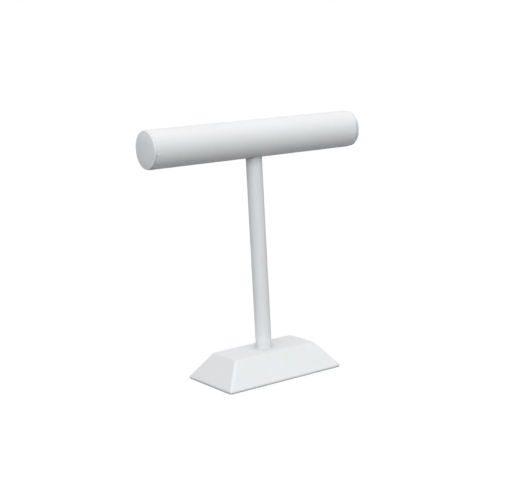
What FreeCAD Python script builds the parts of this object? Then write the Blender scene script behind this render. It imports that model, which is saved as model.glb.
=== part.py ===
import FreeCAD, Part
import math
import os

# Bracelet display stand: a covered round bar across the top of a round post, on a bevelled base.
# Sizes are millimetres. The origin is the centre of the underside, +Z is up and +X runs along the bar.

# Whole stand, finished sizes over the covering
stand_height = 302.5
bar_length = 286.0
bar_diameter = 44.0
post_diameter = 19.0
foot_length = 159.0
foot_width = 90.0
top_length = 114.0
top_width = 48.5
base_height = 30.4
lip_height = 2.0

# Softened edges, over the covering
foot_corner_radius = 2.4
top_corner_radius = 3.4
top_edge_radius = 2.2
lip_edge_radius = 2.0
foot_edge_radius = 0.8
bar_end_radius = 4.0
disc_edge_radius = 1.0

# Leatherette covering, its butt seams and the hems turned over out of sight
cover_thickness = 0.8
seam_gap = 0.3
base_hem = 12.0
bar_hem = 9.0
bar_hem_tabs = 12
disc_hem = 5.0
disc_hem_tabs = 16
tab_gap = 0.8

# Bar: a cardboard tube with a wooden plug at its middle and a covered board disc on each end
tube_wall = 3.0
tube_chamfer = 2.0
plug_length = 40.0
disc_setback = 0.6
disc_board = 1.0

# Soft pad under the base, with a raised field that fills the space between the hems
pad_thickness = 0.8
pad_setback = 0.6
pad_field_clearance = 0.5

# Countersunk screw that draws the post down on the base
screw_diameter = 4.5
screw_head_diameter = 9.0
screw_head_rim = 0.5
screw_length = 60.0
screw_point = 5.0
recess_width = 1.1
recess_span = 4.8
recess_depth = 1.9

# Stud, pointed at both ends, that holds the bar on the post
stud_diameter = 6.0
stud_in_post = 30.0
stud_in_bar = 26.0
stud_point = 6.0

# Room round a shank where it passes through without gripping
shank_clearance = 0.25

# Places that follow from the sizes above
bar_radius = bar_diameter / 2
bar_axis_z = stand_height - bar_radius
post_radius = post_diameter / 2
base_top_z = pad_thickness + base_height
block_underside_z = pad_thickness + cover_thickness
tube_radius = bar_radius - cover_thickness
bore_radius = tube_radius - tube_wall
disc_radius = bar_radius - disc_setback
disc_stack = disc_board + 2 * cover_thickness
bar_body_half = bar_length / 2 - disc_stack
tube_half = bar_body_half - cover_thickness
board_face_x = bar_length / 2 - cover_thickness
board_back_x = board_face_x - disc_board

past = 1.0  # how far a cutting shape runs past what it cuts
near = 1e-4  # points and levels nearer than this are the same

ORIGIN = FreeCAD.Vector(0, 0, 0)
X_AXIS = FreeCAD.Vector(1, 0, 0)
Y_AXIS = FreeCAD.Vector(0, 1, 0)
Z_AXIS = FreeCAD.Vector(0, 0, 1)


def rounded_wire(corners):
    """Closed wire in the XY plane through corners (x, y, radius), each rounded by its radius."""
    points = [FreeCAD.Vector(x, y, 0) for x, y, radius in corners]
    rounds = []
    for i, here in enumerate(points):
        radius = corners[i][2]
        back = (points[i - 1] - here).normalize()
        ahead = (points[(i + 1) % len(points)] - here).normalize()
        inward = (back + ahead).normalize()
        half_angle = back.getAngle(ahead) / 2
        setback = radius / math.tan(half_angle)
        middle = here + inward * (radius / math.sin(half_angle) - radius)
        rounds.append((here + back * setback, middle, here + ahead * setback))
    edges = []
    for i, (start, middle, end) in enumerate(rounds):
        if corners[i][2] > 0:
            edges.append(Part.Arc(start, middle, end).toShape())
        following = rounds[(i + 1) % len(rounds)][0]
        if end.distanceToPoint(following) > near:
            edges.append(Part.LineSegment(end, following).toShape())
    return Part.Wire(edges)


def rounded_rectangle(length, width, radius, z):
    """Closed wire of a rectangle round the Z axis with rounded corners, at height z."""
    x = length / 2
    y = width / 2
    wire = rounded_wire([(x, y, radius), (-x, y, radius), (-x, -y, radius), (x, -y, radius)])
    wire.translate(FreeCAD.Vector(0, 0, z))
    return wire


def slab(length, width, radius, low, high):
    """Plate round the Z axis with rounded corners, from height low to height high."""
    outline = rounded_rectangle(length, width, radius, low)
    return Part.Face(outline).extrude(Z_AXIS * (high - low))


def turned(corners):
    """Solid turned about the X axis from a closed outline of (x, distance from the axis, rounding)."""
    return Part.Face(rounded_wire(corners)).revolve(ORIGIN, X_AXIS, 360)


def upright(solid, z):
    """A solid turned about X, stood up so that its x = 0 is at height z and its +X points up."""
    solid.rotate(ORIGIN, Y_AXIS, -90)
    solid.translate(Z_AXIS * z)
    return solid


def on_bar(solid):
    """A solid made about the X axis, raised to the bar's axis."""
    solid.translate(Z_AXIS * bar_axis_z)
    return solid


def rod(radius, low, high):
    """Cylinder on the X axis from x = low to x = high."""
    return Part.makeCylinder(radius, high - low, X_AXIS * low, X_AXIS)


def post_rod(radius, low, high):
    """Cylinder on the Z axis from height low to height high."""
    return Part.makeCylinder(radius, high - low, Z_AXIS * low, Z_AXIS)


def block(low_x, high_x, low_y, high_y, low_z, high_z):
    """Plain box between two values on each axis."""
    corner = FreeCAD.Vector(low_x, low_y, low_z)
    return Part.makeBox(high_x - low_x, high_y - low_y, high_z - low_z, corner)


def round_level(solid, z, radius):
    """Rounds the closed run of edges that lies at height z."""
    level = []
    for edge in solid.Edges:
        box = edge.BoundBox
        if abs(box.ZMin - z) < near and abs(box.ZMax - z) < near:
            level.append(edge)
    return solid.makeFillet(radius, level)


def corner_shift(inset, turn):
    """How far a corner between two faces slides along one of them when both move in by the inset."""
    return inset * math.tan(turn / 2)


def base_form(inset):
    """The bevelled base, sharp along its edges, with every face moved in by the inset."""
    rise = base_height - lip_height
    end_slope = math.atan2(rise, (foot_length - top_length) / 2)
    side_slope = math.atan2(rise, (foot_width - top_width) / 2)
    low = pad_thickness + inset
    lip = pad_thickness + lip_height - corner_shift(inset, math.pi / 2 - end_slope)
    high = base_top_z - inset
    foot = (foot_length - 2 * inset, foot_width - 2 * inset)
    top = (top_length - 2 * corner_shift(inset, end_slope), top_width - 2 * corner_shift(inset, side_slope))
    outlines = [
        rounded_rectangle(*foot, foot_corner_radius - inset, low),
        rounded_rectangle(*foot, foot_corner_radius - inset, lip),
        rounded_rectangle(*top, top_corner_radius - inset, high),
    ]
    return Part.makeLoft(outlines, True, True)


def base_outside():
    """The bevelled base with its edges softened by the covering."""
    form = round_level(base_form(0), base_top_z, top_edge_radius)
    form = round_level(form, pad_thickness + lip_height, lip_edge_radius)
    return round_level(form, pad_thickness, foot_edge_radius)


def base_screw():
    """Countersunk wood screw, its head flush with the block's underside and its point up in the post."""
    head = screw_head_diameter / 2
    shank = screw_diameter / 2
    screw = turned([
        (0, 0, 0),
        (screw_length, 0, 0),
        (screw_length - screw_point, shank, 0),
        (screw_head_rim + head - shank, shank, 0),
        (screw_head_rim, head, 0),
        (0, head, 0),
    ])
    span = recess_span / 2
    width = recess_width / 2
    for turn in (0, 90):
        slot = block(-past, recess_depth, -span, span, -width, width)
        slot.rotate(ORIGIN, X_AXIS, turn)
        screw = screw.cut(slot)
    return upright(screw, block_underside_z)


def screw_way():
    """The hole through the base that lets the screw's shank pass."""
    return post_rod(screw_diameter / 2 + shank_clearance, 0, base_top_z + past)


def base_block():
    """Board block of the base, drilled and countersunk for the screw."""
    head = screw_head_diameter / 2
    shank = screw_diameter / 2
    countersink = upright(turned([
        (-past, 0, 0),
        (screw_head_rim + head, 0, 0),
        (screw_head_rim, head, 0),
        (-past, head, 0),
    ]), block_underside_z)
    return base_form(cover_thickness).cut(screw_way()).cut(countersink)


def base_cover():
    """Leatherette drawn over the block and turned under it, in hems that are mitred at the corners."""
    cover = base_outside().cut(base_form(cover_thickness))
    window_x = foot_length / 2 - base_hem
    window_y = foot_width / 2 - base_hem
    over = block_underside_z + past
    cover = cover.cut(block(-window_x, window_x, -window_y, window_y, 0, over))
    mitre_length = (base_hem - foot_corner_radius) * math.sqrt(2)
    for x in (-window_x, window_x):
        for y in (-window_y, window_y):
            mitre = block(-past, mitre_length, -seam_gap / 2, seam_gap / 2, 0, block_underside_z)
            mitre.rotate(ORIGIN, Z_AXIS, math.degrees(math.atan2(math.copysign(1, y), math.copysign(1, x))))
            mitre.translate(FreeCAD.Vector(x, y, 0))
            cover = cover.cut(mitre)
    return cover.cut(screw_way())


def base_pad():
    """Soft sheet under the base, set back from its edge, with its field pressed up between the hems."""
    sheet = slab(
        foot_length - 2 * pad_setback,
        foot_width - 2 * pad_setback,
        foot_corner_radius,
        0,
        pad_thickness,
    )
    field_setback = base_hem + pad_field_clearance
    field = slab(
        foot_length - 2 * field_setback,
        foot_width - 2 * field_setback,
        foot_corner_radius,
        0,
        block_underside_z,
    )
    return sheet.fuse(field).removeSplitter()


def post_stud():
    """Stud with a point at each end, from the top of the post up into the bar's plug."""
    radius = stud_diameter / 2
    stud = turned([
        (-stud_in_post, 0, 0),
        (stud_in_bar, 0, 0),
        (stud_in_bar - stud_point, radius, 0),
        (stud_point - stud_in_post, radius, 0),
    ])
    return upright(stud, bar_axis_z - bar_radius)


def stud_way():
    """The hole through the bar's covering and tube that lets the stud pass."""
    return post_rod(stud_diameter / 2 + shank_clearance, bar_axis_z - bar_radius - past, bar_axis_z)


def bar_outside():
    """The bar's round outside, which the top of the post is hollowed to fit."""
    return on_bar(rod(bar_radius, -bar_body_half, bar_body_half))


def post_dowel():
    """Wooden dowel from the base up to the underside of the bar."""
    dowel = post_rod(post_radius - cover_thickness, base_top_z, bar_axis_z)
    return dowel.cut(bar_outside()).cut(base_screw()).cut(post_stud())


def post_cover():
    """Leatherette sleeve round the dowel, butted in one seam down the back."""
    outer = post_rod(post_radius, base_top_z, bar_axis_z)
    inner = post_rod(post_radius - cover_thickness, base_top_z, bar_axis_z)
    seam = block(-seam_gap / 2, seam_gap / 2, 0, post_radius + past, base_top_z - past, bar_axis_z)
    return outer.cut(inner).cut(bar_outside()).cut(seam)


def tube_form():
    """The bar's tube before it is drilled."""
    return turned([
        (-tube_half, bore_radius, 0),
        (tube_half, bore_radius, 0),
        (tube_half, tube_radius - tube_chamfer, 0),
        (tube_half - tube_chamfer, tube_radius, 0),
        (tube_chamfer - tube_half, tube_radius, 0),
        (-tube_half, tube_radius - tube_chamfer, 0),
    ])


def bar_tube():
    """Cardboard tube with chamfered ends, drilled underneath for the stud."""
    return on_bar(tube_form()).cut(stud_way())


def bar_plug():
    """Wooden plug glued in the middle of the tube, which takes the stud."""
    plug = rod(bore_radius, -plug_length / 2, plug_length / 2)
    return on_bar(plug).cut(post_stud())


def bar_hem_slits():
    """The cuts between the tabs of the hems inside both ends of the tube."""
    slits = []
    for i in range(bar_hem_tabs):
        for low in (-tube_half, tube_half - bar_hem - past):
            slit = block(
                low,
                low + bar_hem + past,
                -tab_gap / 2,
                tab_gap / 2,
                bore_radius - cover_thickness - past,
                bore_radius + tube_wall / 2,
            )
            slit.rotate(ORIGIN, X_AXIS, 360 * i / bar_hem_tabs)
            slits.append(slit)
    return slits


def bar_cover():
    """Leatherette round the tube, turned in over both ends and butted in one seam along the underside."""
    outside = turned([
        (-bar_body_half, bore_radius - cover_thickness, 0),
        (bar_body_half, bore_radius - cover_thickness, 0),
        (bar_body_half, bar_radius, bar_end_radius),
        (-bar_body_half, bar_radius, bar_end_radius),
    ])
    hem_end = tube_half - bar_hem
    cover = outside.cut(tube_form()).cut(rod(bore_radius + tube_wall / 2, -hem_end, hem_end))
    cover = cover.cut(bar_hem_slits())
    reach = bar_body_half + past
    seam = block(-reach, reach, -seam_gap / 2, seam_gap / 2, -bar_radius - past, 0)
    return on_bar(cover.cut(seam)).cut(stud_way())


def end_board():
    """Board disc of the end at +X."""
    return rod(disc_radius - cover_thickness, board_back_x, board_face_x)


def end_board_cover():
    """Leatherette over the face and edge of the disc at +X, turned in behind it in tabs."""
    outside = turned([
        (bar_body_half, 0, 0),
        (bar_length / 2, 0, 0),
        (bar_length / 2, disc_radius, disc_edge_radius),
        (bar_body_half, disc_radius, disc_edge_radius),
    ])
    cover = outside.cut(end_board())
    inside_board = board_back_x + disc_board / 2
    cover = cover.cut(rod(disc_radius - disc_hem, bar_body_half - past, inside_board))
    for i in range(disc_hem_tabs):
        slit = block(
            bar_body_half - past,
            inside_board,
            -tab_gap / 2,
            tab_gap / 2,
            disc_radius - disc_hem - past,
            disc_radius - disc_edge_radius,
        )
        slit.rotate(ORIGIN, X_AXIS, 360 * i / disc_hem_tabs)
        cover = cover.cut(slit)
    return cover


def at_end(solid, turn):
    """A piece made for the end at +X, on the bar's axis, turned about Z to the end where it belongs."""
    solid.rotate(ORIGIN, Z_AXIS, turn)
    return on_bar(solid)


nodes = {
    "base_pad": base_pad(),
    "base_block": base_block(),
    "base_cover": base_cover(),
    "base_screw": base_screw(),
    "post_dowel": post_dowel(),
    "post_cover": post_cover(),
    "post_stud": post_stud(),
    "bar_tube": bar_tube(),
    "bar_plug": bar_plug(),
    "bar_cover": bar_cover(),
}
for side, turn in (("right", 0), ("left", 180)):
    nodes["end_disc_" + side] = at_end(end_board(), turn)
    nodes["end_disc_cover_" + side] = at_end(end_board_cover(), turn)

os.makedirs("parts", exist_ok=True)
for name, solid in nodes.items():
    solid.exportStep("parts/" + name + ".step")
    print(name, "solids", len(solid.Solids), "volume", round(solid.Volume), "valid", solid.isValid())
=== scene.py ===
import bpy
import math
import numpy as np
import random
from mathutils import Matrix, Vector, noise


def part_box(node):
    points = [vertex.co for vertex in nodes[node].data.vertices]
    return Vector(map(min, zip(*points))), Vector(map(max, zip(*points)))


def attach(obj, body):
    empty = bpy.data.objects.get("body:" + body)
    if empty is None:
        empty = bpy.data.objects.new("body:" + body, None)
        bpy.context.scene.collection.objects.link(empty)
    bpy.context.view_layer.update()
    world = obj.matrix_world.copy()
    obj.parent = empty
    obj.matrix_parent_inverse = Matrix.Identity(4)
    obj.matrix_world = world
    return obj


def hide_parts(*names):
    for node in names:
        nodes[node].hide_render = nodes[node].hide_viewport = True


# Bracelet display stand. Lengths are metres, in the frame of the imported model:
# +Z is up, +X runs along the bar and the seams of the covering face +Y and down.
MM = 0.001

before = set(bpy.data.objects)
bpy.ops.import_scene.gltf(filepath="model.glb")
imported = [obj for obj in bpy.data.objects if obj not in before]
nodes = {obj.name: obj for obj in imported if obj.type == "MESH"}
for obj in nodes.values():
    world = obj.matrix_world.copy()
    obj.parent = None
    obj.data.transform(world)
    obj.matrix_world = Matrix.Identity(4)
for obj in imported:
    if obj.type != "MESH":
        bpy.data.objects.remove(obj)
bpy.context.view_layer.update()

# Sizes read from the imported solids
bar_low, bar_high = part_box("bar_cover")
tube_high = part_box("bar_tube")[1]
plug_low, plug_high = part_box("bar_plug")
disc_low, disc_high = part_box("end_disc_cover_right")
post_low, post_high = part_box("post_cover")
base_low, base_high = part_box("base_cover")
pad_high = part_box("base_pad")[1]

bar_radius = (bar_high.z - bar_low.z) / 2
bar_axis_z = (bar_high.z + bar_low.z) / 2
bar_half = bar_high.x
bore_radius = (plug_high.z - plug_low.z) / 2
cover_thickness = bar_high.x - tube_high.x
disc_radius = (disc_high.z - disc_low.z) / 2
disc_back = disc_low.x
disc_face = disc_high.x
post_radius = post_high.x
foot_half = Vector((base_high.x, base_high.y))
foot_z = base_low.z
top_z = base_high.z

# Sizes of the covering that the boxes don't give. They are those of the solids, apart from the
# edge above the lip, which is softer here.
top_half = Vector((57.0, 24.25)) * MM
lip_height = 2.0 * MM
foot_corner_radius = 2.4 * MM
top_corner_radius = 3.4 * MM
top_edge_radius = 2.2 * MM
lip_edge_radius = 3.2 * MM
foot_edge_radius = 0.8 * MM
bar_end_radius = 4.0 * MM
seam_gap = 0.3 * MM
bar_hem = 9.0 * MM
disc_hem = 5.0 * MM
base_hem = 12.0 * MM
screw_way_radius = 2.5 * MM


def smoothstep(low, high, value):
    """0 at low, 1 at high and an even ease between them, for numbers or arrays."""
    share = np.clip((value - low) / (high - low), 0, 1)
    return share * share * (3 - 2 * share)


def lumps(points, size, amount, seed):
    """Smooth noise at each point, with lumps of about the given size, from -amount to +amount."""
    shift_to_seed = (7.3, 3.1, 5.7)
    shift = Vector([seed * step for step in shift_to_seed])
    values = [noise.noise(Vector(p) / size + shift) for p in points.reshape(-1, 3)]
    return np.array(values).reshape(points.shape[:-1]) * amount


def arc(centre, radius, start, end, steps):
    """Points on an arc in a plane, from the start angle to the end angle in degrees."""
    angles = np.radians(np.linspace(start, end, steps + 1))
    return np.stack([centre[0] + radius * np.cos(angles), centre[1] + radius * np.sin(angles)], 1)


def runs(*parts):
    """One polyline from several, without the points that repeat where they join."""
    touching = 1e-9
    joined = [parts[0]]
    for part in parts[1:]:
        repeats = np.linalg.norm(part[0] - joined[-1][-1]) < touching
        joined.append(part[1:] if repeats else part)
    return np.concatenate(joined)


def line(start, end, steps):
    """Evenly spaced points from start to end."""
    return np.linspace(start, end, steps + 1)


def ease_line(start, end, steps, finest):
    """Points from start to end that stand closer together at both ends.

    The steps there are the share finest of the mean step.
    """
    even = np.linspace(0, 1, steps + 1)
    eased = (1 - finest) * smoothstep(0, 1, even) + finest * even
    return np.array(start) + eased[:, None] * (np.array(end) - np.array(start))


def grid_faces(rows, columns, closed):
    """Quads of a grid of points, with its last column joined to its first where it is closed."""
    faces = []
    for row in range(rows - 1):
        first, second = row * columns, (row + 1) * columns
        for j in range(columns if closed else columns - 1):
            k = (j + 1) % columns
            faces.append((first + j, first + k, second + k, second + j))
    return faces


def grid_normals(points, closed):
    """Unit normals of a grid of points, pointing to the side that shows."""
    along = np.gradient(points, axis=0)
    if closed:
        around = np.roll(points, -1, axis=1) - np.roll(points, 1, axis=1)
    else:
        around = np.gradient(points, axis=1)
    normals = np.cross(around, along)
    smallest = 1e-12
    return normals / np.maximum(np.linalg.norm(normals, axis=2, keepdims=True), smallest)


def make_piece(name, points, faces, material):
    """A mesh piece that rides on the stand."""
    sharp_degrees = 50
    mesh = bpy.data.meshes.new(name)
    mesh.from_pydata([tuple(p) for p in points.reshape(-1, 3)], [], faces)
    mesh.update()
    mesh.shade_smooth()
    mesh.set_sharp_from_angle(angle=math.radians(sharp_degrees))
    mesh.materials.append(material)
    piece = bpy.data.objects.new(name, mesh)
    bpy.context.scene.collection.objects.link(piece)
    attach(piece, "root")
    return piece


def give_thickness(piece, thickness):
    """Thickens a sheet away from the side that shows, with a closed rim."""
    solidify = piece.modifiers.new("thickness", "SOLIDIFY")
    solidify.thickness = thickness
    solidify.offset = -1
    solidify.use_even_offset = True
    solidify.use_quality_normals = True


# Materials. Each reads the surface's own place in millimetres, so its scale is real and the
# lengths in these functions are millimetres.


def new_material(name):
    """A material with its node tree and its shader."""
    material = bpy.data.materials.new(name)
    material.use_nodes = True
    tree = material.node_tree
    shader = tree.nodes["Principled BSDF"]
    return material, tree, shader


def feed(tree, socket, value):
    """Sets a socket to a value, or links it to another node's output."""
    if isinstance(value, bpy.types.NodeSocket):
        tree.links.new(value, socket)
    else:
        socket.default_value = value


def add(tree, kind, **inputs):
    """A node with its inputs set, each to a value or to another node's output."""
    node = tree.nodes.new(kind)
    for key, value in inputs.items():
        feed(tree, node.inputs[key], value)
    return node


def place(tree, stretch=(1, 1, 1)):
    """The surface's place in millimetres, stretched by a factor on each axis."""
    where = tree.nodes.new("ShaderNodeTexCoord").outputs["Object"]
    mapping = add(tree, "ShaderNodeMapping", Vector=where)
    mapping.inputs["Scale"].default_value = [share / MM for share in stretch]
    return mapping.outputs["Vector"]


def spots(tree, where, scale, detail=2.0, roughness=0.5):
    """Noise from 0 to 1, with about the given number of spots to a millimetre."""
    node = add(tree, "ShaderNodeTexNoise", Vector=where, Scale=scale, Detail=detail, Roughness=roughness)
    return node.outputs["Fac"]


def remap(tree, value, low, high, to_low, to_high, ease="SMOOTHSTEP"):
    """A value taken from one range to another and held at both ends."""
    node = tree.nodes.new("ShaderNodeMapRange")
    node.interpolation_type = ease
    for key, number in (("From Min", low), ("From Max", high), ("To Min", to_low), ("To Max", to_high)):
        node.inputs[key].default_value = number
    tree.links.new(value, node.inputs["Value"])
    return node.outputs["Result"]


def math_node(tree, operation, first, second):
    """The result of an operation on two numbers."""
    node = tree.nodes.new("ShaderNodeMath")
    node.operation = operation
    feed(tree, node.inputs[0], first)
    feed(tree, node.inputs[1], second)
    return node.outputs["Value"]


def vector_node(tree, operation, first, second):
    """The result of an operation on two vectors, or on a vector and the number that scales it."""
    node = tree.nodes.new("ShaderNodeVectorMath")
    node.operation = operation
    feed(tree, node.inputs[0], first)
    feed(tree, node.inputs["Scale" if operation == "SCALE" else 1], second)
    return node.outputs["Value" if operation in ("DISTANCE", "DOT_PRODUCT") else "Vector"]


def blend_colours(tree, factor, first, second):
    """From the first colour to the second as the factor goes from 0 to 1."""
    node = tree.nodes.new("ShaderNodeMix")
    node.data_type = "RGBA"
    first_socket, second_socket, result = node.inputs[6], node.inputs[7], node.outputs[2]
    tree.links.new(factor, node.inputs["Factor"])
    for socket, colour in ((first_socket, first), (second_socket, second)):
        feed(tree, socket, (*colour, 1) if isinstance(colour, tuple) else colour)
    return result


def bump(tree, height, depth, normal=None):
    """A normal that follows a height, which stands for a depth, on top of another normal."""
    node = add(tree, "ShaderNodeBump", Height=height, Distance=depth)
    if normal is not None:
        tree.links.new(normal, node.inputs["Normal"])
    return node.outputs["Normal"]


def distance(tree, where, axes, centre):
    """Distance in millimetres from a centre, measured along the axes that are 1."""
    return vector_node(tree, "DISTANCE", vector_node(tree, "MULTIPLY", where, axes), centre)


def foot_shade(tree, reach, level, cloud):
    """How much painted shade darkens the covering round the post's foot, where the post meets the base,
    from 0 to 1.
    """
    above_top, width = 2.0, 10.0
    spot = add(tree, "ShaderNodeCombineXYZ", X=reach, Y=level).outputs["Vector"]
    away = vector_node(tree, "DISTANCE", spot, (post_radius / MM, top_z / MM + above_top, 0))
    uneven = math_node(tree, "ADD", away, remap(tree, cloud, 0.3, 0.7, -1.0, 1.0))
    return remap(tree, uneven, 0.0, width, 1.0, 0.0)


def post_top_shade(tree, where, reach, level):
    """Painted shade on the post's covering: a soft painted shadow of the bar near it and a dark painted
    shadow in the nick under it, each from 0 to 1.
    """
    bar_skin, post_skin = bar_radius / MM, post_radius / MM
    axis, underside = bar_axis_z / MM, bar_low.z / MM
    from_axis = distance(tree, where, (0, 1, 1), (0, 0, axis))
    bar_shadow_share = remap(tree, from_axis, bar_skin + 1.0, bar_skin + 12.0, 1.0, 0.0, "LINEAR")
    nick_shadow_share = remap(tree, level, underside - 1.7, underside - 0.7, 0.0, 1.0)
    within_post = remap(tree, reach, post_skin + 0.15, post_skin + 0.4, 1.0, 0.0)
    below_axis = remap(tree, level, axis - 1.0, axis, 1.0, 0.0)
    on_post = math_node(tree, "MULTIPLY", within_post, below_axis)
    return [math_node(tree, "MULTIPLY", share, on_post) for share in (bar_shadow_share, nick_shadow_share)]


def pebble_grain(tree, where):
    """Pebbles of the grain: 0 in the creases between them and 1 on their tops."""
    drift = add(tree, "ShaderNodeTexNoise", Vector=where, Scale=0.9, Detail=2.0).outputs["Color"]
    moved = vector_node(tree, "ADD", where, vector_node(tree, "SCALE", drift, 0.7))
    cells = tree.nodes.new("ShaderNodeTexVoronoi")
    cells.feature = "DISTANCE_TO_EDGE"
    feed(tree, cells.inputs["Vector"], moved)
    feed(tree, cells.inputs["Scale"], 1.25)
    return remap(tree, cells.outputs["Distance"], 0.0, 0.22, 0.0, 1.0)


def leatherette_colour(tree, where, pebbles, cloud):
    """White and warmer in places, with painted shade in the creases of its grain and at both ends of the
    post.
    """
    # Apart from clean and warm, these tones are painted shade, not colours of the leatherette.
    clean, warm, crease_shade = (0.868, 0.877, 0.884), (0.852, 0.857, 0.858), (0.79, 0.80, 0.81)
    dust_and_shade, under_bar_shade, dark = (0.75, 0.755, 0.76), (0.62, 0.625, 0.63), (0.54, 0.543, 0.545)
    broad = spots(tree, where, 0.022, 2.0)
    level = add(tree, "ShaderNodeSeparateXYZ", Vector=where).outputs["Z"]
    reach = distance(tree, where, (1, 1, 0), (0, 0, 0))
    bar_shadow_share, nick_shadow_share = post_top_shade(tree, where, reach, level)
    colour = blend_colours(tree, remap(tree, broad, 0.35, 0.65, 0.0, 0.6), clean, warm)
    # Painted shade in the creases of the grain.
    colour = blend_colours(tree, remap(tree, pebbles, 0.0, 1.0, 0.35, 0.0), colour, crease_shade)
    # Painted shade round the post's foot, where the post meets the base.
    colour = blend_colours(tree, foot_shade(tree, reach, level, cloud), colour, dust_and_shade)
    # Painted shadow of the bar on the top of the post, darkest in the nick under the bar.
    colour = blend_colours(tree, bar_shadow_share, colour, under_bar_shade)
    return blend_colours(tree, nick_shadow_share, colour, dark)


def leatherette():
    """White leatherette: a pebble grain with finer creases, and a soft sheen."""
    material, tree, shader = new_material("white_leatherette")
    where = place(tree)
    pebbles = pebble_grain(tree, where)
    fine = spots(tree, where, 5.5, 3.0, 0.6)
    cloud = spots(tree, where, 0.11, 3.0)
    tree.links.new(leatherette_colour(tree, where, pebbles, cloud), shader.inputs["Base Color"])
    uneven = remap(tree, cloud, 0.3, 0.7, 0.4, 0.5)
    dull_creases = remap(tree, pebbles, 0.0, 1.0, 0.12, 0.0)
    tree.links.new(math_node(tree, "ADD", uneven, dull_creases), shader.inputs["Roughness"])
    shader.inputs["Specular IOR Level"].default_value = 0.4
    shader.inputs["Sheen Weight"].default_value = 0.06
    shader.inputs["Sheen Roughness"].default_value = 0.5
    swell = bump(tree, cloud, 0.12 * MM)
    grain = bump(tree, pebbles, 0.035 * MM, swell)
    tree.links.new(bump(tree, fine, 0.012 * MM, grain), shader.inputs["Normal"])
    return material


def felt():
    """Grey flocked felt with matted fibres."""
    material, tree, shader = new_material("grey_felt")
    where = place(tree)
    matted = spots(tree, where, 1.6, 6.0, 0.75)
    strands = spots(tree, place(tree, (6.0, 1.2, 6.0)), 0.9, 4.0, 0.7)
    worn = spots(tree, where, 0.04, 3.0)
    dark = (0.43, 0.432, 0.44)
    pale = (0.57, 0.572, 0.58)
    dust_and_shade = (0.62, 0.615, 0.61)
    colour = blend_colours(tree, remap(tree, matted, 0.35, 0.7, 0.0, 1.0), dark, pale)
    colour = blend_colours(tree, remap(tree, worn, 0.55, 0.75, 0.0, 0.35), colour, dust_and_shade)
    tree.links.new(colour, shader.inputs["Base Color"])
    tree.links.new(remap(tree, strands, 0.3, 0.7, 0.86, 1.0), shader.inputs["Roughness"])
    shader.inputs["Specular IOR Level"].default_value = 0.15
    shader.inputs["Sheen Weight"].default_value = 0.3
    shader.inputs["Sheen Roughness"].default_value = 0.7
    fibres = bump(tree, strands, 0.15 * MM)
    tree.links.new(bump(tree, matted, 0.25 * MM, fibres), shader.inputs["Normal"])
    return material


def fibreboard():
    """Bare fibreboard: pressed fibres with darker flecks."""
    material, tree, shader = new_material("fibreboard")
    fibres = spots(tree, place(tree, (1.0, 1.0, 4.0)), 0.8, 6.0, 0.7)
    flecks = spots(tree, place(tree), 2.2, 3.0)
    brown, pale, dark = (0.48, 0.34, 0.2), (0.62, 0.47, 0.3), (0.3, 0.19, 0.1)
    colour = blend_colours(tree, remap(tree, fibres, 0.3, 0.7, 0.0, 1.0), brown, pale)
    colour = blend_colours(tree, remap(tree, flecks, 0.62, 0.7, 0.0, 0.6), colour, dark)
    tree.links.new(colour, shader.inputs["Base Color"])
    tree.links.new(remap(tree, fibres, 0.3, 0.7, 0.75, 0.95), shader.inputs["Roughness"])
    tree.links.new(bump(tree, fibres, 0.1 * MM), shader.inputs["Normal"])
    return material


def turned_wood(name, stretch):
    """Pale turned wood, its grain along the axis that is stretched least."""
    material, tree, shader = new_material(name)
    where = place(tree, stretch)
    figure = spots(tree, where, 0.25, 5.0, 0.6)
    pores = spots(tree, where, 2.4, 2.0)
    late_wood, early_wood, pore = (0.62, 0.42, 0.24), (0.76, 0.58, 0.38), (0.42, 0.26, 0.14)
    colour = blend_colours(tree, remap(tree, figure, 0.3, 0.7, 0.0, 1.0), late_wood, early_wood)
    colour = blend_colours(tree, remap(tree, pores, 0.6, 0.68, 0.0, 0.5), colour, pore)
    tree.links.new(colour, shader.inputs["Base Color"])
    tree.links.new(remap(tree, figure, 0.3, 0.7, 0.55, 0.75), shader.inputs["Roughness"])
    tree.links.new(bump(tree, pores, 0.05 * MM), shader.inputs["Normal"])
    return material


def greyboard():
    """Grey cardboard with pale and dark flecks of pulp."""
    material, tree, shader = new_material("greyboard")
    pulp = spots(tree, place(tree), 1.1, 5.0, 0.7)
    flecks = spots(tree, place(tree, (1.0, 2.0, 1.0)), 1.7, 2.0)
    grey, pale, dark = (0.42, 0.39, 0.34), (0.56, 0.53, 0.47), (0.25, 0.22, 0.19)
    colour = blend_colours(tree, remap(tree, pulp, 0.3, 0.7, 0.0, 1.0), grey, pale)
    colour = blend_colours(tree, remap(tree, flecks, 0.64, 0.7, 0.0, 0.7), colour, dark)
    tree.links.new(colour, shader.inputs["Base Color"])
    tree.links.new(remap(tree, pulp, 0.3, 0.7, 0.85, 0.97), shader.inputs["Roughness"])
    tree.links.new(bump(tree, pulp, 0.08 * MM), shader.inputs["Normal"])
    return material


def plated_steel():
    """Zinc-plated steel with drawing marks along its length and a dull bloom."""
    material, tree, shader = new_material("plated_steel")
    drawn = spots(tree, place(tree, (8.0, 8.0, 0.2)), 1.5, 3.0)
    bloom = spots(tree, place(tree), 0.5, 4.0)
    bright, dull = (0.72, 0.73, 0.75), (0.58, 0.59, 0.6)
    colour = blend_colours(tree, remap(tree, bloom, 0.35, 0.7, 0.0, 1.0), bright, dull)
    tree.links.new(colour, shader.inputs["Base Color"])
    shader.inputs["Metallic"].default_value = 1.0
    tree.links.new(remap(tree, bloom, 0.3, 0.7, 0.28, 0.48), shader.inputs["Roughness"])
    tree.links.new(bump(tree, drawn, 0.01 * MM), shader.inputs["Normal"])
    return material


# What the coverings share: pleats, seams and the fit of the end discs on the bar


def ridge(away, middle, width):
    """A soft ridge round a middle, 1 high at its crest."""
    return np.exp(-((away - middle) / width) ** 2)


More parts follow.
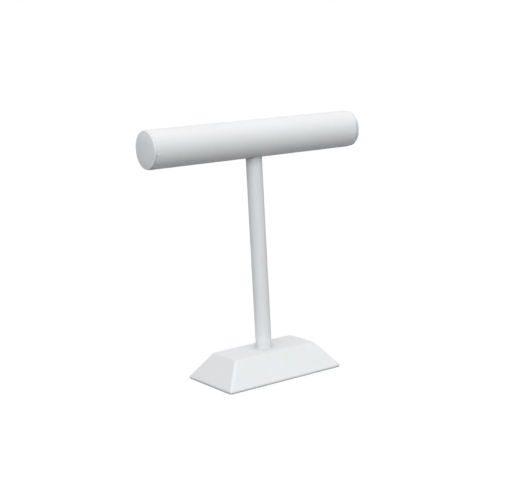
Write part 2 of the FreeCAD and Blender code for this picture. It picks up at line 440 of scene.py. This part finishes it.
def crease(across, width):
    """A pleat's cross-section: a narrow valley with a softer and lower ridge beside it."""
    return 0.55 * ridge(across, 1.7 * width, 1.1 * width) - ridge(across, 0, width)


def within_half_turn(angle):
    """The same angle, between minus and plus half a turn."""
    return (angle + math.pi) % (2 * math.pi) - math.pi


def pleats(along, around, reach, count, depth, width, seed, low_angle):
    """Pleats that gather the covering at uneven angles round the rim, where along runs from 0 to 1.

    They start within the given reach, and are deepest and longest near low_angle.
    """
    draw = random.Random(seed)
    least_depth, added_depth = 0.15, 1.25
    total = np.zeros_like(around)
    for i in range(count):
        middle = 2 * math.pi * (i + draw.uniform(-0.3, 0.3)) / count
        deep = depth * draw.uniform(0.25, 1.0)
        wide = width * draw.uniform(0.8, 1.5)
        slant = draw.uniform(-0.06, 0.06)
        nearness = 0.5 + 0.5 * math.cos(middle - low_angle)
        start = draw.uniform(0.0, reach) * (1 - nearness)
        deep *= least_depth + added_depth * nearness ** 3
        across = within_half_turn(around - middle + slant * (1 - along))
        total += deep * crease(across, wide) * smoothstep(start, 1.0, along)
    return total


def seam_angles(radius, columns):
    """Angles once round, from one edge of a butt seam to the other."""
    half_gap = seam_gap / 2 / radius
    return np.linspace(half_gap, 2 * math.pi - half_gap, columns)


def seam_distance(around, radius):
    """Distance along the surface from the nearer edge of the seam."""
    from_edge = around - around[0]
    return np.minimum(from_edge, from_edge[::-1]) * radius


# Each end disc stands a little proud of the bar over one place round it and sits tight elsewhere.
# By the sign of the end: the middle of that place as an angle from the bar's underside towards the
# back, and the angles away from it between which the disc grows tight.
proud_places = {
    -1: (math.radians(-48), 0.25, 0.7),
    1: (math.radians(-62), 0.6, 1.15),
}


def tightness(around, sign):
    """1 where the end disc sits tight on the bar and 0 where it stands proud."""
    middle, start, end = proud_places[sign]
    return smoothstep(start, end, np.abs(within_half_turn(around - middle)))


def between(first, second, share):
    """Grid of (place along the bar, distance from its axis) between two profiles, by a share per column."""
    share = share[None, :, None]
    return (1 - share) * first[:, None, :] + share * second[:, None, :]


def round_the_axis(grid, around):
    """Points in space from such a grid and the angles of its columns from the bar's underside."""
    x, radius = grid[..., 0], grid[..., 1]
    return np.stack([x, radius * np.sin(around), bar_axis_z - radius * np.cos(around)], 2)


# Leatherette round the bar


def bar_half_profile(shoulder):
    """Half of the bar's profile, from the middle over one end's shoulder and into the tube."""
    hem_radius = bore_radius - cover_thickness
    turn_radius = bar_radius - bar_end_radius - hem_radius
    plain_end, pleats_start = bar_half - 30 * MM, bar_half - 10 * MM
    return runs(
        line((0, bar_radius), (plain_end, bar_radius), 22),
        line((plain_end, bar_radius), (pleats_start, bar_radius), 12),
        line((pleats_start, bar_radius), (bar_half - bar_end_radius, bar_radius), 13),
        shoulder,
        arc((bar_half - turn_radius, hem_radius + turn_radius), turn_radius, 0, -90, 3),
        line((bar_half - turn_radius, hem_radius), (bar_half - cover_thickness - bar_hem, hem_radius), 4),
    )


def lean_shoulder(steps):
    """The bar's end where the disc stands proud: its edge is drawn in more than a round."""
    fullness = 1.7
    turn = arc((0, 0), 1, 90, 0, steps) ** (2 / fullness)
    return np.array((bar_half - bar_end_radius, bar_radius - bar_end_radius)) + bar_end_radius * turn


def tight_shoulder(steps):
    """The bar's end where the disc sits tight: a long soft ease, then a sharp turn inwards."""
    drop = 0.5 * MM
    last_degrees = 15
    face_steps = 2
    ease = arc((0, 0), 1, 90, last_degrees, steps - face_steps - 1) * (bar_end_radius, drop)
    face = line((bar_half, bar_radius - 1.6 * drop), (bar_half, bar_radius - bar_end_radius), face_steps)
    return np.concatenate([ease + (bar_half - bar_end_radius, bar_radius - drop), face])


def bar_end_pleats(x, around):
    """Pleats where the covering is drawn in over both ends of the bar."""
    from_end = bar_half - np.abs(x)
    total = np.zeros_like(x)
    for sign, seed in ((-1, 11), (1, 12)):
        along = smoothstep(9 * MM, 1.2 * MM, from_end) * (np.sign(x) == sign)
        low_angle = proud_places[sign][0]
        total += pleats(along, around, 0.75, 26, 0.42 * MM, 0.035, seed, low_angle)
    return total


def bar_covering(material):
    """Leatherette wrapped round the tube: a butt seam along the underside and both ends turned in."""
    shoulder_steps = 9
    columns = 220
    lean = bar_half_profile(lean_shoulder(shoulder_steps))
    tight = bar_half_profile(tight_shoulder(shoulder_steps))
    around = seam_angles(bar_radius, columns)
    left, right = [between(lean, tight, tightness(around, sign)) for sign in (-1, 1)]
    grid = np.concatenate([(left * (-1, 1))[:0:-1], right])
    points = round_the_axis(grid, around)
    normals = grid_normals(points, False)
    x, radius = grid[..., 0], grid[..., 1]
    touching = 1e-6
    outer = radius > bar_radius - bar_end_radius - touching
    move = lumps(points, 45 * MM, 0.10 * MM, 1) + lumps(points, 14 * MM, 0.035 * MM, 2)
    move += bar_end_pleats(x, np.broadcast_to(around, x.shape)) * outer
    to_seam = seam_distance(around, bar_radius)
    move -= 0.16 * MM * (1 - smoothstep(0, 1.1 * MM, to_seam))
    move += 0.05 * MM * ridge(to_seam, 1.6 * MM, 0.7 * MM)
    points = points + normals * move[..., None]
    faces = grid_faces(len(grid), columns, False)
    piece = make_piece("bar_leatherette", points, faces, material)
    give_thickness(piece, cover_thickness)
    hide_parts("bar_cover")


# Leatherette over the end discs


def disc_profile(back_round):
    """Profile of a disc's covering, from the middle of its domed face to the inside of its hem."""
    crown, lift = 2.1 * MM, 1.25 * MM
    soft_width, soft_depth = 1.4 * MM, 1.0 * MM
    first_radius = 0.5 * MM
    hem_start = disc_radius - 1.0 * MM
    face_radii = np.linspace(first_radius, disc_radius - soft_width, 28)
    face_x = disc_face + lift - crown * (face_radii / disc_radius) ** 3
    edge = arc((0, 0), 1, 0, 90, 12) * (soft_depth, soft_width)
    back_middle = (disc_back + back_round, disc_radius - back_round)
    return runs(
        np.stack([face_x, face_radii], 1),
        edge + (face_x[-1] - soft_depth, disc_radius - soft_width),
        arc(back_middle, back_round, 90, 180, 6),
        line((disc_back, hem_start), (disc_back, disc_radius - disc_hem), 5),
    )


def disc_covering(side, sign, seed, material):
    """Leatherette over one end disc, drawn over its edge and gathered behind it."""
    columns = 168
    gathered_width = 3.5 * MM
    proud, tight = disc_profile(0.8 * MM), disc_profile(0.2 * MM)
    around = np.linspace(0, 2 * math.pi, columns, endpoint=False)
    grid = between(proud, tight, tightness(around, sign))
    points = round_the_axis(grid, around)
    normals = grid_normals(points, True)
    x, radius = grid[..., 0], grid[..., 1]
    gathered = radius > disc_radius - gathered_width
    along = smoothstep(disc_face, disc_back + 0.4 * MM, x) * gathered
    angles = np.broadcast_to(around, x.shape)
    move = lumps(points, 16 * MM, 0.06 * MM, seed)
    move += pleats(along, angles, 0.4, 30, 0.22 * MM, 0.03, seed, proud_places[sign][0])
    points = points + normals * move[..., None]
    points[..., 0] *= sign
    middle = points[0].mean(0)
    all_points = np.concatenate([points.reshape(-1, 3), middle[None, :]])
    hub = len(all_points) - 1
    faces = grid_faces(len(grid), columns, True)
    faces += [(hub, (j + 1) % columns, j) for j in range(columns)]
    if sign > 0:
        faces = [tuple(reversed(face)) for face in faces]
    piece = make_piece("end_leatherette_" + side, all_points, faces, material)
    give_thickness(piece, cover_thickness)
    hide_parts("end_disc_cover_" + side)


# Leatherette sleeve round the post


def post_covering(material):
    """Leatherette sleeve: a butt seam down the back, its top cut to the bar's underside and rolled in."""
    columns = 112
    sink = 0.25 * MM
    play = 0.1 * MM
    roll = 0.65 * MM
    foot_share, head_share = 0.02, 0.97
    around = seam_angles(post_radius, columns)
    side = np.stack([-np.sin(around), np.cos(around)], 1) * post_radius
    top = bar_axis_z - np.sqrt((bar_radius + play) ** 2 - side[:, 1] ** 2)
    rise = runs(
        line((0, 0), (foot_share, 0), 12),
        line((foot_share, 0), (head_share, 0), 60),
        line((head_share, 0), (1, 0), 28),
    )[:, 0]
    low = post_low.z - sink
    z = low + rise[:, None] * (top - low)
    x, y = np.broadcast_to(side[:, 0], z.shape), np.broadcast_to(side[:, 1], z.shape)
    points = np.stack([x, y, z], 2)
    normals = grid_normals(points, False)
    move = lumps(points, 30 * MM, 0.07 * MM, 21) + lumps(points, 9 * MM, 0.025 * MM, 22)
    move -= roll * smoothstep(bar_low.z - 0.2 * MM, bar_low.z + 1.0 * MM, z)
    move -= 0.14 * MM * (1 - smoothstep(0, 1.0 * MM, seam_distance(around, post_radius)))
    points = points + normals * move[..., None]
    faces = grid_faces(len(rise), columns, False)
    piece = make_piece("post_leatherette", points, faces, material)
    give_thickness(piece, cover_thickness)
    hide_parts("post_cover")


# Leatherette over the base

top_margin = 5.0 * MM
hem_steps = 8


def base_side_profile(half_foot, half_top):
    """Profile (distance from the centre, height) of one side, from the top to the inside of the hem."""
    slope = math.atan2(top_z - foot_z - lip_height, half_foot - half_top)
    lip_z = foot_z + lip_height
    top_back = top_edge_radius * math.tan(slope / 2)
    lip_back = lip_edge_radius * math.tan((math.pi / 2 - slope) / 2)
    down = np.array((math.cos(slope), -math.sin(slope)))
    degrees = math.degrees(slope)
    top_corner = np.array((half_top, top_z))
    lip_corner = np.array((half_foot, lip_z))
    return runs(
        line((half_top - top_margin, top_z), (half_top - top_back, top_z), 4),
        arc((half_top - top_back, top_z - top_edge_radius), top_edge_radius, 90, 90 - degrees, 7),
        ease_line(top_corner + down * top_back, lip_corner - down * lip_back, 30, 0.35),
        arc((half_foot - lip_edge_radius, lip_z - lip_back), lip_edge_radius, 90 - degrees, 0, 7),
        line((half_foot, lip_z - lip_back), (half_foot, foot_z + foot_edge_radius), 2),
        arc((half_foot - foot_edge_radius, foot_z + foot_edge_radius), foot_edge_radius, 0, -90, 5),
        line((half_foot - foot_edge_radius, foot_z), (half_foot - base_hem, foot_z), hem_steps),
    )


def loop_places(long_steps, short_steps, corner_steps):
    """Places round a rounded rectangle: (side, corner, share along the side, degrees round the corner).

    Side and corner are directions in x and y, and the one that a place isn't on is None.
    """
    places = []
    quarters = (
        ((1, 0), (1, 1), 0, short_steps),
        ((0, 1), (-1, 1), 90, long_steps),
        ((-1, 0), (-1, -1), 180, short_steps),
        ((0, -1), (1, -1), 270, long_steps),
    )
    for side, corner, turn, steps in quarters:
        for share in np.linspace(-1, 1, steps + 1):
            places.append((side, None, float(share), 0))
        for i in range(1, corner_steps):
            places.append((None, corner, 0.0, turn + 90 * i / corner_steps))
    return places


def sharp_level(height):
    """The base at a height, with sharp edges: half its length, half its width and its corner radius."""
    share = (height - foot_z - lip_height) / (top_z - foot_z - lip_height)
    share = min(max(share, 0.0), 1.0)
    half = foot_half.lerp(top_half, share)
    return half.x, half.y, foot_corner_radius + share * (top_corner_radius - foot_corner_radius)


def softened_corner(x_place, y_place):
    """Corner radius of the loop through a place on the ends and one on the sides of the base."""
    smallest = 0.4 * MM
    half_x, half_y, corner = sharp_level((x_place[1] + y_place[1]) / 2)
    inset = ((half_x - x_place[0]) + (half_y - y_place[0])) / 2
    return max(corner - inset, smallest)


def loop_points(places, x_place, y_place, radius):
    """One loop round the base, through (distance from the centre, height) on its ends and its sides."""
    (half_x, end_z), (half_y, side_z) = x_place, y_place
    points = []
    for side, corner, share, degrees in places:
        if corner is not None:
            angle = math.radians(degrees)
            weight = math.cos(angle) ** 2
            points.append((
                corner[0] * (half_x - radius) + radius * math.cos(angle),
                corner[1] * (half_y - radius) + radius * math.sin(angle),
                end_z * weight + side_z * (1 - weight),
            ))
        elif side[0]:
            points.append((side[0] * half_x, side[0] * share * (half_y - radius), end_z))
        else:
            points.append((-side[1] * share * (half_x - radius), side[1] * half_y, side_z))
    return points


def top_rings(rim):
    """Loops from the screw's way through the top, round the post's foot and out to the rim of the top."""
    turn = np.arctan2(rim[:, 1], rim[:, 0])
    radii = np.concatenate([
        np.linspace(screw_way_radius, 8.5 * MM, 4),
        np.linspace(9.0 * MM, 13.5 * MM, 12),
        np.linspace(14.3 * MM, 16.0 * MM, 3),
    ])
    level = np.full(len(turn), top_z)
    rings = [np.stack([radius * np.cos(turn), radius * np.sin(turn), level], 1) for radius in radii]
    blends = [rings[-1] * (1 - share) + rim * share for share in np.linspace(0, 1, 10)[1:-1]]
    return rings + blends


def base_covering(material):
    """Leatherette drawn down over the base, tucked at its corners and turned under it."""
    places = loop_places(96, 54, 10)
    ends = base_side_profile(foot_half.x, top_half.x)
    sides = base_side_profile(foot_half.y, top_half.y)
    loops = [loop_points(places, end, side, softened_corner(end, side)) for end, side in zip(ends, sides)]
    points = np.array(top_rings(np.array(loops[0])) + loops)
    normals = -grid_normals(points, True)
    height = points[..., 2]
    shows = np.arange(len(points))[:, None] < len(points) - hem_steps - 1
    move = lumps(points, 38 * MM, 0.16 * MM, 31) + lumps(points, 12 * MM, 0.04 * MM, 32)
    on_top = height > top_z - 0.2 * MM
    from_post = np.hypot(points[..., 0], points[..., 1]) - post_radius
    move *= np.where(on_top, smoothstep(0, 8 * MM, from_post), 1.0)
    move -= 0.2 * MM * (1 - smoothstep(0, 1.6 * MM, from_post)) * on_top
    move += 0.06 * MM * ridge(from_post, 2.6 * MM, 1.2 * MM) * on_top
    move += corner_tucks(points, height)
    points = points + normals * (move * shows)[..., None]
    faces = grid_faces(len(points), len(places), True)
    faces = [tuple(reversed(face)) for face in faces]
    piece = make_piece("base_leatherette", points, faces, material)
    give_thickness(piece, cover_thickness)
    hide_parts("base_cover")


def corner_tucks(points, height):
    """Small tucks where the covering is drawn round each lower corner of the base."""
    draw = random.Random(41)
    total = np.zeros_like(height)
    low_share = 1 - smoothstep(foot_z + 1 * MM, foot_z + 9 * MM, height)
    for sign_x, sign_y in ((-1, -1), (-1, 1), (1, -1), (1, 1)):
        corner = (sign_x * foot_half.x, sign_y * foot_half.y)
        from_corner = np.hypot(points[..., 0] - corner[0], points[..., 1] - corner[1])
        close = from_corner < 14 * MM
        for axis, sign in ((1, sign_y), (0, sign_x)):
            middle = corner[axis] - sign * draw.uniform(2.2, 4.2) * MM
            lean = draw.uniform(-0.15, 0.15)
            width = draw.uniform(0.5, 0.8) * MM
            depth = draw.uniform(0.05, 0.12) * MM
            across = points[..., axis] - middle - lean * (height - foot_z)
            total += depth * crease(across, width) * low_share * close
    return total


# Felt under the base


def base_felt(material):
    """Felt pad with a soft cut edge."""
    places = loop_places(80, 44, 6)
    edge = 0.25 * MM
    chamfer = 0.3 * edge
    felt_top = foot_z
    x, y = pad_high.x, pad_high.y
    under = [(inset * MM, 0.0) for inset in (30, 12, 5, 2)]
    low_edge = [(edge, 0.0), (chamfer, chamfer), (0.0, edge), (0.0, felt_top / 2)]
    high_edge = [(0.0, felt_top - edge), (chamfer, felt_top - chamfer), (edge, felt_top)]
    over = [(inset * MM, felt_top) for inset in (2, 11.5)]
    loops = []
    for inset, z in under + low_edge + high_edge + over:
        loops.append(loop_points(places, (x - inset, z), (y - inset, z), foot_corner_radius))
    points = np.array(loops)
    fuzz = lumps(points, 2.4 * MM, 0.05 * MM, 51) + lumps(points, 0.9 * MM, 0.04 * MM, 52)
    flat_within = 0.02 * MM
    shows = (points[..., 2] > flat_within) & (points[..., 2] < felt_top - flat_within)
    normals = grid_normals(points, True)
    points = points + normals * (fuzz * shows)[..., None]
    faces = grid_faces(len(points), len(places), True)
    first = list(range(len(places)))
    last = [(len(points) - 1) * len(places) + i for i in first]
    faces += [tuple(reversed(first)), tuple(last)]
    piece = make_piece("base_felt", points, faces, material)
    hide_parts("base_pad")


# Stage: a floor that shows white to the camera and keeps the stand's shadow, and soft light


def see_white(tree, shader, white):
    """One shader for the light on the stand, and a white one for what the camera, gloss and glass see."""
    path = tree.nodes.new("ShaderNodeLightPath")
    seen = math_node(tree, "MAXIMUM", path.outputs["Is Camera Ray"], path.outputs["Is Glossy Ray"])
    seen = math_node(tree, "MAXIMUM", seen, path.outputs["Is Transmission Ray"])
    mix = tree.nodes.new("ShaderNodeMixShader")
    tree.links.new(seen, mix.inputs[0])
    tree.links.new(shader, mix.inputs[1])
    tree.links.new(white, mix.inputs[2])
    return mix.outputs[0]


def make_floor():
    """A floor that lights the stand as a dark grey one would, and shows white with its shadow."""
    half, level = 4.0, -0.1 * MM
    mesh = bpy.data.meshes.new("floor")
    corners = [(-half, -half, level), (half, -half, level), (half, half, level), (-half, half, level)]
    mesh.from_pydata(corners, [], [(0, 1, 2, 3)])
    floor = bpy.data.objects.new("floor", mesh)
    bpy.context.scene.collection.objects.link(floor)
    material = bpy.data.materials.new("pale_floor")
    material.use_nodes = True
    tree = material.node_tree
    tree.nodes.remove(tree.nodes["Principled BSDF"])
    output = tree.nodes["Material Output"]
    grey = add(tree, "ShaderNodeBsdfDiffuse", Color=(0.145, 0.145, 0.145, 1))
    shade = add(tree, "ShaderNodeBsdfDiffuse", Color=(0.3, 0.3, 0.3, 1))
    glow = add(tree, "ShaderNodeEmission", Color=(1, 1, 1, 1), Strength=0.74)
    pale = tree.nodes.new("ShaderNodeAddShader")
    tree.links.new(shade.outputs[0], pale.inputs[0])
    tree.links.new(glow.outputs[0], pale.inputs[1])
    tree.links.new(see_white(tree, grey.outputs[0], pale.outputs[0]), output.inputs["Surface"])
    mesh.materials.append(material)


def soft_lamp(tree, where, direction, focus, colour):
    """Light that falls off softly round one direction of the world, and faster with more focus."""
    facing = vector_node(tree, "DOT_PRODUCT", where, Vector(direction).normalized())
    level = math_node(tree, "POWER", math_node(tree, "MAXIMUM", facing, 0.0), focus)
    return vector_node(tree, "SCALE", colour, level)


def make_world():
    """Even studio light with soft lamps above and in front, that shows white behind the stand."""
    world = bpy.data.worlds.new("studio")
    bpy.context.scene.world = world
    world.use_nodes = True
    tree = world.node_tree
    tree.nodes.clear()
    output = tree.nodes.new("ShaderNodeOutputWorld")
    where = tree.nodes.new("ShaderNodeTexCoord").outputs["Generated"]
    ambient = (0.39, 0.39, 0.39)
    above = soft_lamp(tree, where, (0, 0, 1), 3.0, (0.662, 0.605, 0.610))
    front_left = soft_lamp(tree, where, (-0.497, -0.709, 0.5), 8.0, (2.218, 2.403, 2.507))
    front = soft_lamp(tree, where, (0, -0.866, 0.5), 8.0, (0.596, 0.575, 0.529))
    colour = ambient
    for lamp in (above, front_left, front):
        colour = vector_node(tree, "ADD", lamp, colour)
    light = add(tree, "ShaderNodeBackground", Color=colour, Strength=1.0)
    white = add(tree, "ShaderNodeBackground", Color=(1, 1, 1, 1), Strength=1.0)
    tree.links.new(see_white(tree, light.outputs[0], white.outputs[0]), output.inputs["Surface"])


def make_camera():
    """Camera fitted to the outlines in the photograph, for an image of 515 by 488 pixels."""
    image_width, image_height = 515, 488
    azimuth, elevation, roll = math.radians(-34.444), math.radians(10.154), math.radians(-3.048)
    away = 1315.204 * MM
    focal_pixels = 1119.317
    centre_x, centre_y = 258.504, 246.168
    target = Vector((0, 0, 0.154))
    back = Vector((
        math.sin(azimuth) * math.cos(elevation),
        -math.cos(azimuth) * math.cos(elevation),
        math.sin(elevation),
    ))
    right = (-back).cross(Vector((0, 0, 1))).normalized()
    up = right.cross(-back)
    right, up = (
        right * math.cos(roll) + up * math.sin(roll),
        up * math.cos(roll) - right * math.sin(roll),
    )
    data = bpy.data.cameras.new("camera")
    camera = bpy.data.objects.new("camera", data)
    bpy.context.scene.collection.objects.link(camera)
    data.sensor_width = 36.0
    data.lens = focal_pixels / image_width * data.sensor_width
    data.shift_x = (image_width / 2 - centre_x) / image_width
    data.shift_y = (centre_y - image_height / 2) / image_width
    data.clip_end = 50
    turn = Matrix((right, up, back)).transposed().to_4x4()
    camera.matrix_world = Matrix.Translation(target + back * away) @ turn
    bpy.context.scene.camera = camera


white = leatherette()
hidden = {
    "base_block": fibreboard(),
    "base_screw": plated_steel(),
    "post_dowel": turned_wood("post_wood", (1, 1, 0.08)),
    "post_stud": plated_steel(),
    "bar_tube": greyboard(),
    "bar_plug": turned_wood("plug_wood", (0.08, 1, 1)),
    "end_disc_left": greyboard(),
    "end_disc_right": greyboard(),
}
for name, material in hidden.items():
    nodes[name].material_slots[0].material = material

bar_covering(white)
disc_covering("left", -1, 61, white)
disc_covering("right", 1, 62, white)
post_covering(white)
base_covering(white)
base_felt(felt())

make_floor()
make_world()
make_camera()
bpy.context.scene.view_settings.view_transform = "Standard"
